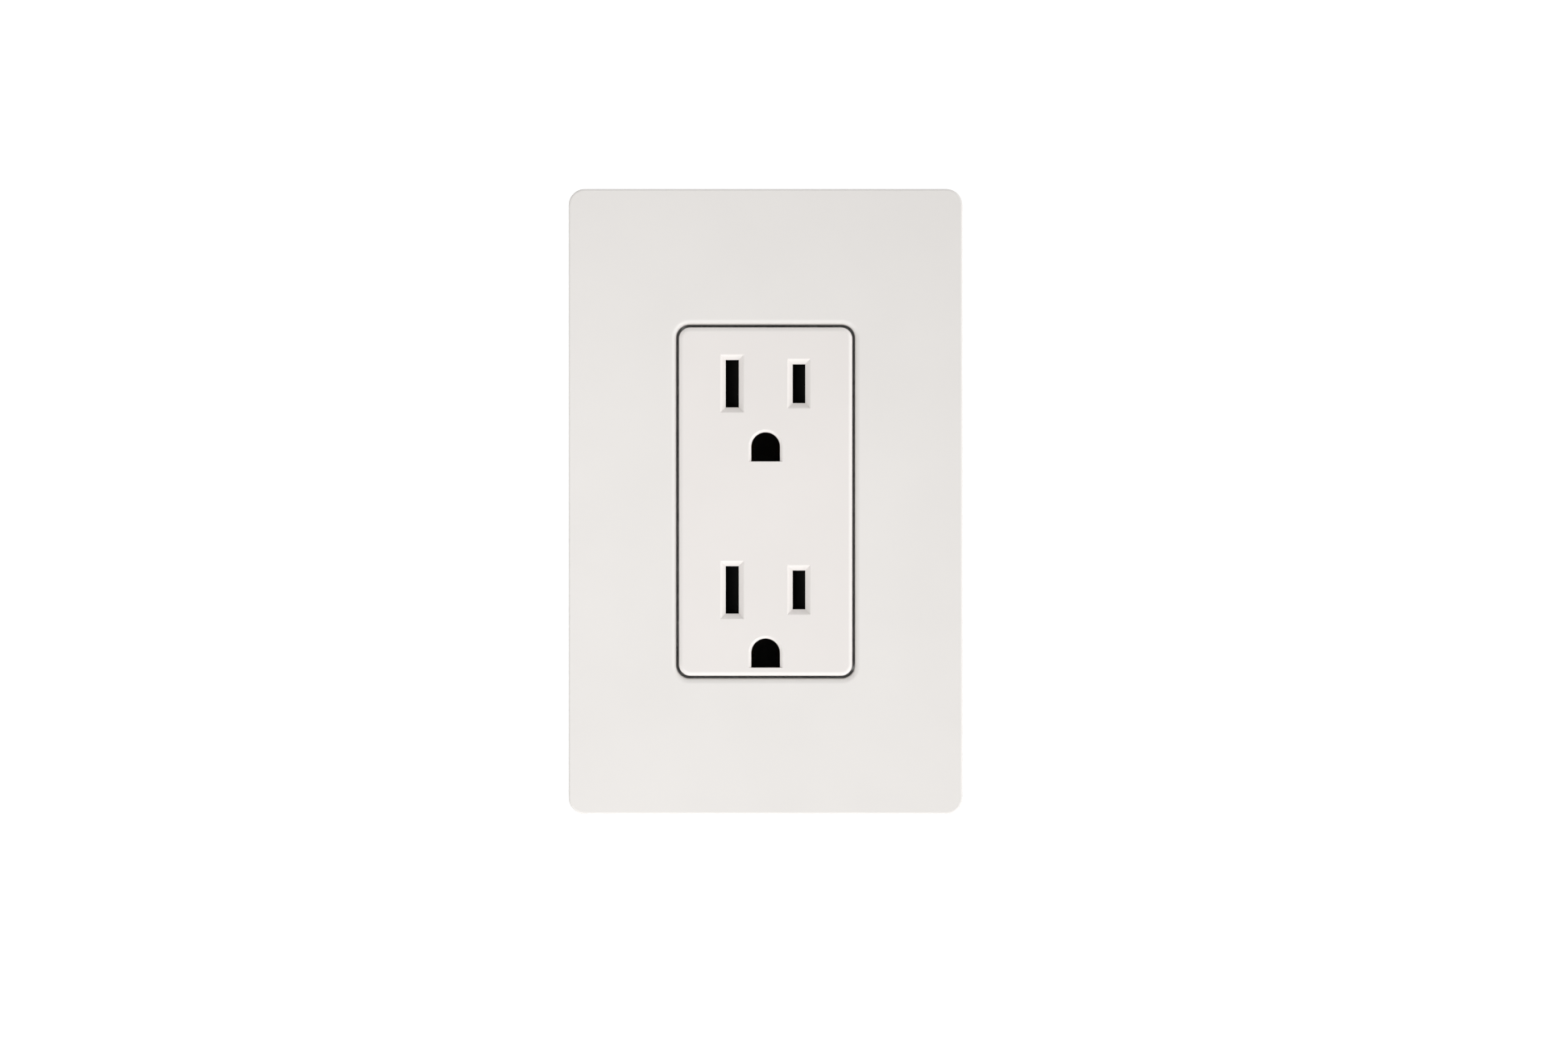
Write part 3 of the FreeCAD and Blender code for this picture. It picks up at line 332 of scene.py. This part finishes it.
def turned_rings(tree, scale):
    """The output of a texture that changes only with the distance from its object's Z axis."""
    coordinates = tree.nodes.new("ShaderNodeTexCoord")
    parts = tree.nodes.new("ShaderNodeSeparateXYZ")
    tree.links.new(coordinates.outputs["Object"], parts.inputs["Vector"])
    squares = [number(tree, "MULTIPLY", parts.outputs[way], parts.outputs[way]) for way in ("X", "Y")]
    out = number(tree, "POWER", number(tree, "ADD", *squares), 0.5)
    rings = tree.nodes.new("ShaderNodeTexNoise")
    rings.noise_dimensions = "1D"
    rings.inputs["Scale"].default_value = scale
    tree.links.new(out, rings.inputs["W"])
    return rings.outputs["Fac"]


def build_materials():
    """The look of each material slot."""
    return {
        "cover_plastic": moulded_plastic("cover_moulding", (0.79, 0.765, 0.74), 0.36, mottle=0.008),
        "adapter_plastic": moulded_plastic("adapter_moulding", (0.76, 0.74, 0.71), 0.5, mottle=0.012),
        "face_plastic": moulded_plastic("face_moulding", (0.805, 0.77, 0.745), 0.32, mottle=0.008),
        "base_plastic": moulded_plastic(
            "base_moulding", (0.022, 0.022, 0.024), 0.5, grain_scale=1800.0, grain_depth=0.00003, mottle=0.15
        ),
        "shutter_plastic": moulded_plastic("shutter_moulding", grey(0.002), 0.7, mottle=0.1, shine=0.15),
        "carrier_plastic": moulded_plastic("carrier_moulding", grey(0.02), 0.5, mottle=0.1),
        "painted_screw": moulded_plastic(
            "enamelled_screw", (0.76, 0.74, 0.71), 0.25, grain_scale=1200.0, mottle=0.01
        ),
        "galvanised_steel": galvanised("zinc_spangle"),
        "spring_steel": sheet_metal("drawn_wire", (0.55, 0.55, 0.56), 0.25),
        "brass": sheet_metal("rolled_brass", (0.64, 0.45, 0.19), 0.32),
        "nickel_plate": sheet_metal("nickel_plated_strip", (0.66, 0.63, 0.58), 0.3),
        "screw_steel": screw_metal("zinc_screw", (0.64, 0.64, 0.63), 0.3),
        "brass_screw": screw_metal("brass_plated_screw", (0.66, 0.45, 0.18), 0.28),
        "green_screw": screw_metal("green_plating", (0.03, 0.24, 0.08), 0.34),
        "fibre": fibre_board("pressed_fibre"),
    }


def paint_nodes(materials):
    for name, node in frame["nodes"].items():
        node.data.materials.clear()
        node.data.materials.append(materials[SLOTS[name]])


def ring(along, radius):
    """A level ring round a screw's axis; radius is a number, or a function of the side."""
    points = []
    for side in range(SCREW_SIDES):
        angle = math.tau * side / SCREW_SIDES
        out = radius(side) if callable(radius) else radius
        points.append((out * math.cos(angle), out * math.sin(angle), along))
    return points


def closed_skin(name, rows, rows_per_turn=0):
    """A closed mesh over rows of points. Round the back a row meets the one a turn's rows later."""
    shape = bmesh.new()
    made = [[shape.verts.new(point) for point in row] for row in rows]
    last = len(rows) - 1
    sides = len(rows[0])
    for row in range(last):
        for side in range(sides):
            beside = (side + 1) % sides
            shift = 0 if beside else rows_per_turn
            corners = (
                made[row][side],
                made[min(row + shift, last)][beside],
                made[min(row + 1 + shift, last)][beside],
                made[row + 1][side],
            )
            shape.faces.new(dict.fromkeys(corners))
    bmesh.ops.remove_doubles(shape, verts=shape.verts, dist=SAME_PLACE)
    bmesh.ops.holes_fill(shape, edges=[edge for edge in shape.edges if edge.is_boundary])
    bmesh.ops.recalc_face_normals(shape, faces=shape.faces)
    return piece_from(name, shape)


def piece_from(name, shape):
    mesh = bpy.data.meshes.new(name)
    shape.to_mesh(mesh)
    shape.free()
    return add_object(name, mesh)


def settle(piece):
    """Makes a piece's modifiers part of its mesh."""
    shown = piece.evaluated_get(bpy.context.evaluated_depsgraph_get())
    mesh = bpy.data.meshes.new_from_object(shown)
    piece.modifiers.clear()
    piece.data = mesh


def combine(piece, tool, operation):
    """Adds the tool to the piece, or cuts it out of it, and uses the tool up."""
    change = piece.modifiers.new("combine", "BOOLEAN")
    change.operation = operation
    change.object = tool
    change.solver = "EXACT"
    settle(piece)
    bpy.data.objects.remove(tool)


def clear_slivers(piece):
    """Removes the faces without area that joining two skins leaves along their seam."""
    shape = bmesh.new()
    shape.from_mesh(piece.data)
    bmesh.ops.dissolve_degenerate(shape, edges=shape.edges, dist=SLIVER)
    bmesh.ops.triangulate(shape, faces=shape.faces, ngon_method="BEAUTY")
    shape.to_mesh(piece.data)
    shape.free()


def shade_softly(piece, crease):
    """Smooth shading, with a crisp edge wherever the skin turns by more than the crease."""
    piece.data.shade_smooth()
    piece.data.set_sharp_from_angle(angle=crease)


def crest_height(phase):
    """A thread's height at a share of its turn, from 0 at the root to 1 at the crest."""
    for (start, low), (end, high) in zip(THREAD_PROFILE, THREAD_PROFILE[1:]):
        if phase <= end:
            return low + (high - low) * (phase - start) / (end - start)
    return 1.0


def threaded_shank(start, neck, neck_end, crest, end, pitch):
    """A screw's shank: a plain neck, then a thread that fades in, and a chamfered tip."""
    root = crest - THREAD_SHARE * pitch
    tip = TIP_SHARE * root

    def radius(along, turn):
        run_in = along - neck_end
        if run_in <= 0:
            return neck
        height = crest_height((along / pitch - turn) % 1.0)
        full = min(root + (crest - root) * height, neck + run_in, tip + end - along)
        return max(full, neck - NECK_TAPER * run_in)

    # The rows climb like the thread, so they begin before the shank and run on past it, and each
    # point is held to the shank's length.
    shares = [share for share, _ in THREAD_PROFILE[:-1]]
    first = math.floor(start / pitch) - 1
    rows = []
    for turn in range(first, first + math.ceil((end - start) / pitch) + 2):
        for share in shares:
            row = []
            for side in range(SCREW_SIDES):
                around = side / SCREW_SIDES
                along = min(max((turn + share + around) * pitch, start), end)
                out = radius(along, around)
                row.append((out * math.cos(math.tau * around), out * math.sin(math.tau * around), along))
            rows.append(row)
    return closed_skin("shank", rows, len(shares))


def rounded_head(radius, height):
    """A low dome over a short upright rim, from its crown at 0 to its seat."""
    rim = DOME_SHARE * height
    rows = [
        ring(rim - rim * math.sin(angle), radius * math.cos(angle))
        for angle in (DOME_END * step / DOME_STEPS for step in range(DOME_STEPS, -1, -1))
    ]
    return closed_skin("head", rows + [ring(height, radius)])


def countersunk_head(radius, height):
    """A flat top over a short upright rim and a cone."""
    rows = [ring(0, radius), ring(COUNTERSUNK_RIM * height, radius), ring(height, radius - height)]
    return closed_skin("head", rows)


def flanged_hex_head(radius, height):
    """A hexagon with a coned top, on a round flange."""
    flat = (radius - HEX_INSET) * math.cos(math.pi / HEX_CORNERS)
    crown = HEX_CROWN * flat
    seat = height - FLANGE_THICK
    sector = SCREW_SIDES // HEX_CORNERS

    def hexagon(side):
        return flat / math.cos(math.tau * (side % sector) / SCREW_SIDES - math.pi / HEX_CORNERS)

    shoulder = [
        (x, y, (math.hypot(x, y) - crown) * math.tan(HEX_CHAMFER)) for x, y, _ in ring(0, hexagon)
    ]
    flange = [ring(seat, FLANGE_TOP * radius), ring(height, radius)]
    return closed_skin("head", [ring(0, crown), shoulder, ring(seat, hexagon)] + flange)


def cut_drive(head, radius):
    """A slot right across the head, crossed by a shorter one whose ends lean in."""
    combine(head, drive_cutter(SLOT_SHARE * radius, foot=1.0, turn=0.0), "DIFFERENCE")
    combine(head, drive_cutter(CROSS_SHARE * radius, foot=CROSS_FOOT, turn=math.pi / 2), "DIFFERENCE")


def drive_cutter(length, foot, turn):
    """A bar across a head's top. Its foot, deep in the head, is a share of its length."""
    shape = bmesh.new()
    bmesh.ops.create_cube(shape, size=1.0)
    for corner in shape.verts:
        deep = corner.co.z > 0
        corner.co.x *= length * (foot if deep else 1.0)
        corner.co.y *= DRIVE_WIDTH
        corner.co.z = DRIVE_DEPTH if deep else -DRIVE_DEPTH
    bmesh.ops.rotate(shape, verts=shape.verts, matrix=Matrix.Rotation(turn, 3, "Z"))
    return piece_from("drive", shape)


# A kind of screw: the function that makes its head, and its sizes. neck and crest are radii.
ScrewKind = namedtuple("ScrewKind", "head_shape head_height neck neck_length crest")
MOUNTING_SCREW = ScrewKind(
    rounded_head, head_height=0.0019, neck=0.00145, neck_length=0.0043, crest=0.00175
)
ADAPTER_SCREW = ScrewKind(
    countersunk_head, head_height=0.00095, neck=0.0015, neck_length=0.0004, crest=0.00175
)
TERMINAL_SCREW = ScrewKind(
    rounded_head, head_height=0.002, neck=0.0017, neck_length=0.0003, crest=0.00208
)
GROUND_SCREW = ScrewKind(
    flanged_hex_head, head_height=0.0027, neck=0.0017, neck_length=0.0003, crest=0.00208
)
ASSEMBLY_SCREW = ScrewKind(
    rounded_head, head_height=0.0018, neck=0.0012, neck_length=0.0, crest=0.00142
)
ASSEMBLY_HEAD_RADIUS = 0.0026


def screw(kind, radius, length, pitch):
    """A whole screw along +Z, its head's top at 0, made of one closed skin."""
    made = kind.head_shape(radius, kind.head_height)
    cut_drive(made, radius)
    soften = made.modifiers.new("soften", "BEVEL")
    soften.width = HEAD_ROUND
    soften.segments = HEAD_ROUND_STEPS
    soften.angle_limit = SOFT_CREASE
    settle(made)
    start = kind.head_height - SHANK_INSET
    neck_end = kind.head_height + kind.neck_length
    combine(made, threaded_shank(start, kind.neck, neck_end, kind.crest, length, pitch), "UNION")
    clear_slivers(made)
    shade_softly(made, SOFT_CREASE)
    return made


def measure_screw(node, towards):
    """The middle of a CAD screw's head top, the screw's length and its head's radius."""
    low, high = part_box(node)
    span = high - low
    length = abs(span.dot(towards))
    across = max(abs(way) for way in span - towards * span.dot(towards))
    return (low + high - towards * length) / 2, length, across / 2


def standing(place, towards):
    """Where a screw made along +Z stands; each one has stopped at a different turn."""
    spin = Matrix.Rotation(random.uniform(0, math.pi), 4, "Z")
    return Matrix.Translation(place) @ towards.to_track_quat("Z", "Y").to_matrix().to_4x4() @ spin


def take_place(piece, node, finish):
    """The piece stands for a CAD node: it moves with its body, and has its material slot."""
    piece.data.materials.append(finish)
    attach(piece, frame["nodes"][node]["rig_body"])
    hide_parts(node)


def build_machine_screws(materials):
    """The screws that turn. Each row is one shape: its nodes, the way to its tip and its kind."""
    shapes = (
        (("mounting_screw_top", "mounting_screw_bottom"), INTO_WALL, MOUNTING_SCREW),
        (("adapter_screw_top", "adapter_screw_bottom"), INTO_WALL, ADAPTER_SCREW),
        (("hot_screw_upper", "hot_screw_lower"), TO_LEFT, TERMINAL_SCREW),
        (("neutral_screw_upper", "neutral_screw_lower"), TO_RIGHT, TERMINAL_SCREW),
        (("ground_screw",), TO_RIGHT, GROUND_SCREW),
    )
    for names, towards, kind in shapes:
        towards = Vector(towards)
        _, length, radius = measure_screw(names[0], towards)
        made = screw(kind, radius, length, MACHINE_PITCH)
        for node in names:
            piece = add_object(f"threaded_{node}", made.data.copy())
            piece.matrix_world = standing(measure_screw(node, towards)[0], towards)
            take_place(piece, node, materials[SLOTS[node]])
            if SLOTS[node] == "painted_screw":
                bare_the_shank(piece, kind.head_height, materials["screw_steel"])
        bpy.data.objects.remove(made)


def bare_the_shank(piece, head_height, metal):
    """Only a painted screw's head is painted."""
    piece.data.materials.append(metal)
    for face in piece.data.polygons:
        face.material_index = int(face.center.z > head_height)


def build_assembly_screws(materials):
    """Four thread-cutting screws, driven from the wall's side, as one piece."""
    node = "assembly_screws"
    low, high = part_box(node)
    made = screw(ASSEMBLY_SCREW, ASSEMBLY_HEAD_RADIUS, high.y - low.y, CUTTING_PITCH)
    group = bmesh.new()
    for x in (low.x + ASSEMBLY_HEAD_RADIUS, high.x - ASSEMBLY_HEAD_RADIUS):
        for z in (low.z + ASSEMBLY_HEAD_RADIUS, high.z - ASSEMBLY_HEAD_RADIUS):
            before = len(group.verts)
            group.from_mesh(made.data)
            group.verts.ensure_lookup_table()
            place = standing((x, high.y, z), Vector(OUT_OF_WALL))
            bmesh.ops.transform(group, verts=group.verts[before:], matrix=place)
    bpy.data.objects.remove(made)
    take_place(piece_from("threaded_assembly_screws", group), node, materials[SLOTS[node]])


def coil_advance(turn, length):
    """How far along its axis a coil with closed ends has come after some turns."""
    open_turns = SPRING_TURNS - 2 * CLOSED_TURNS
    open_pitch = (length - 2 * CLOSED_TURNS * CLOSED_PITCH) / open_turns
    open_part = min(max(turn - CLOSED_TURNS, 0), open_turns)
    return open_part * open_pitch + (turn - open_part) * CLOSED_PITCH


def build_spring(outlet, materials):
    """A coil of round wire along X, from the shutter's arm to the post that it pushes on."""
    node = f"{outlet}_shutter_spring"
    low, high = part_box(node)
    middle = (low + high) / 2
    radius = (high.y - low.y) / 2 - SPRING_WIRE
    length = high.x - low.x - 2 * SPRING_WIRE
    rows = []
    for step in range(SPRING_TURNS * TURN_STEPS + 1):
        turn = step / TURN_STEPS
        out = Vector((0, math.cos(math.tau * turn), math.sin(math.tau * turn)))
        here = Vector((low.x + SPRING_WIRE + coil_advance(turn, length), middle.y, middle.z)) + radius * out
        row = []
        for side in range(WIRE_SIDES):
            angle = math.tau * side / WIRE_SIDES
            row.append(here + SPRING_WIRE * (math.cos(angle) * out + math.sin(angle) * Vector((1, 0, 0))))
        rows.append(row)
    piece = closed_skin(f"wound_{node}", rows)
    shade_softly(piece, WIRE_CREASE)
    take_place(piece, node, materials[SLOTS[node]])
    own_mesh(piece)


def room_light(tree, direction, towards_wall):
    """The light from each direction: from the room before the outlet's wall, and from past it."""
    slope = tree.nodes.new("ShaderNodeVectorMath")
    slope.operation = "DOT_PRODUCT"
    slope.inputs[1].default_value = ROOM_LIGHT_TOWARDS
    tree.links.new(direction, slope.inputs[0])
    ahead = number(tree, "MULTIPLY", towards_wall, towards_wall)
    dimmer = number(tree, "MULTIPLY", ahead, -ROOM_DIMMER_AHEAD)
    before = number(tree, "ADD", number(tree, "ADD", slope.outputs["Value"], ROOM_LIGHT), dimmer)
    behind = number(tree, "ADD", number(tree, "MULTIPLY", towards_wall, BEHIND_RISE), BEHIND_LIGHT)
    past_wall = tree.nodes.new("ShaderNodeMapRange")
    past_wall.inputs["From Min"].default_value = WALL_SHADE_START
    past_wall.inputs["From Max"].default_value = WALL_SHADE_END
    tree.links.new(towards_wall, past_wall.inputs["Value"])
    return mixed(tree, past_wall.outputs["Result"], before, behind)


def build_world():
    """The studio's light, and the paper and walls that only the camera sees."""
    world = bpy.data.worlds.new("studio")
    bpy.context.scene.world = world
    world.use_nodes = True
    tree = world.node_tree
    direction = tree.nodes.new("ShaderNodeTexCoord").outputs["Generated"]
    parts = tree.nodes.new("ShaderNodeSeparateXYZ")
    tree.links.new(direction, parts.inputs["Vector"])
    towards_wall = parts.outputs["Y"]
    paper = fade(tree, towards_wall, grey(WALL_GREY), grey(PAPER_WHITE), PAPER_SPAN)
    seen = tree.nodes.new("ShaderNodeLightPath").outputs["Is Camera Ray"]
    strength = mixed(tree, seen, room_light(tree, direction, towards_wall), paper)
    background = tree.nodes["Background"]
    background.inputs["Color"].default_value = (1.0, 1.0, 1.0, 1.0)
    tree.links.new(strength, background.inputs["Strength"])


def build_camera():
    low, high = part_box("cover_plate")
    middle = (low + high) / 2
    data = bpy.data.cameras.new("camera")
    data.sensor_width = SENSOR_WIDTH
    data.lens = SENSOR_WIDTH * CAMERA_DISTANCE / VIEW_WIDTH
    data.clip_start = CAMERA_CLIP
    camera = add_object("camera", data)
    camera.location = (middle.x + CAMERA_RIGHT, low.y - CAMERA_DISTANCE, middle.z - CAMERA_DOWN)
    camera.rotation_euler = (math.radians(90), 0, 0)
    bpy.context.scene.camera = camera


def build_floor():
    """A pale floor that takes no part in the outlet's light."""
    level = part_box("cover_plate")[0].z - FLOOR_DROP
    corners = [
        (-FLOOR_SIDE, FLOOR_FRONT, level),
        (FLOOR_SIDE, FLOOR_FRONT, level),
        (FLOOR_SIDE, FLOOR_BACK, level),
        (-FLOOR_SIDE, FLOOR_BACK, level),
    ]
    mesh = bpy.data.meshes.new("floor")
    mesh.from_pydata(corners, [], [(0, 1, 2, 3)])
    floor = add_object("floor", mesh)
    made, _, shader = material("floor_paper")
    shader.inputs["Base Color"].default_value = (*grey(FLOOR_GREY), 1.0)
    shader.inputs["Roughness"].default_value = FLOOR_ROUGHNESS
    mesh.materials.append(made)
    floor.visible_diffuse = False
    floor.visible_glossy = False
    floor.visible_shadow = False


def build_lamp():
    data = bpy.data.lights.new("lamp", "SPOT")
    data.energy = LAMP_POWER
    data.shadow_soft_size = LAMP_SIZE
    data.spot_size = LAMP_CONE
    data.spot_blend = LAMP_FADE
    lamp = add_object("lamp", data)
    lamp.location = LAMP_PLACE
    towards = Vector(LAMP_AIM) - Vector(LAMP_PLACE)
    lamp.rotation_euler = towards.to_track_quat("-Z", "Y").to_euler()


def build_scene():
    build_world()
    build_lamp()
    build_camera()
    build_floor()
    materials = build_materials()
    paint_nodes(materials)
    build_machine_screws(materials)
    build_assembly_screws(materials)
    for outlet in ("upper", "lower"):
        build_spring(outlet, materials)
    bpy.context.scene.view_settings.view_transform = "Standard"


random.seed(6)
build_scene()
bpy.context.view_layer.update()
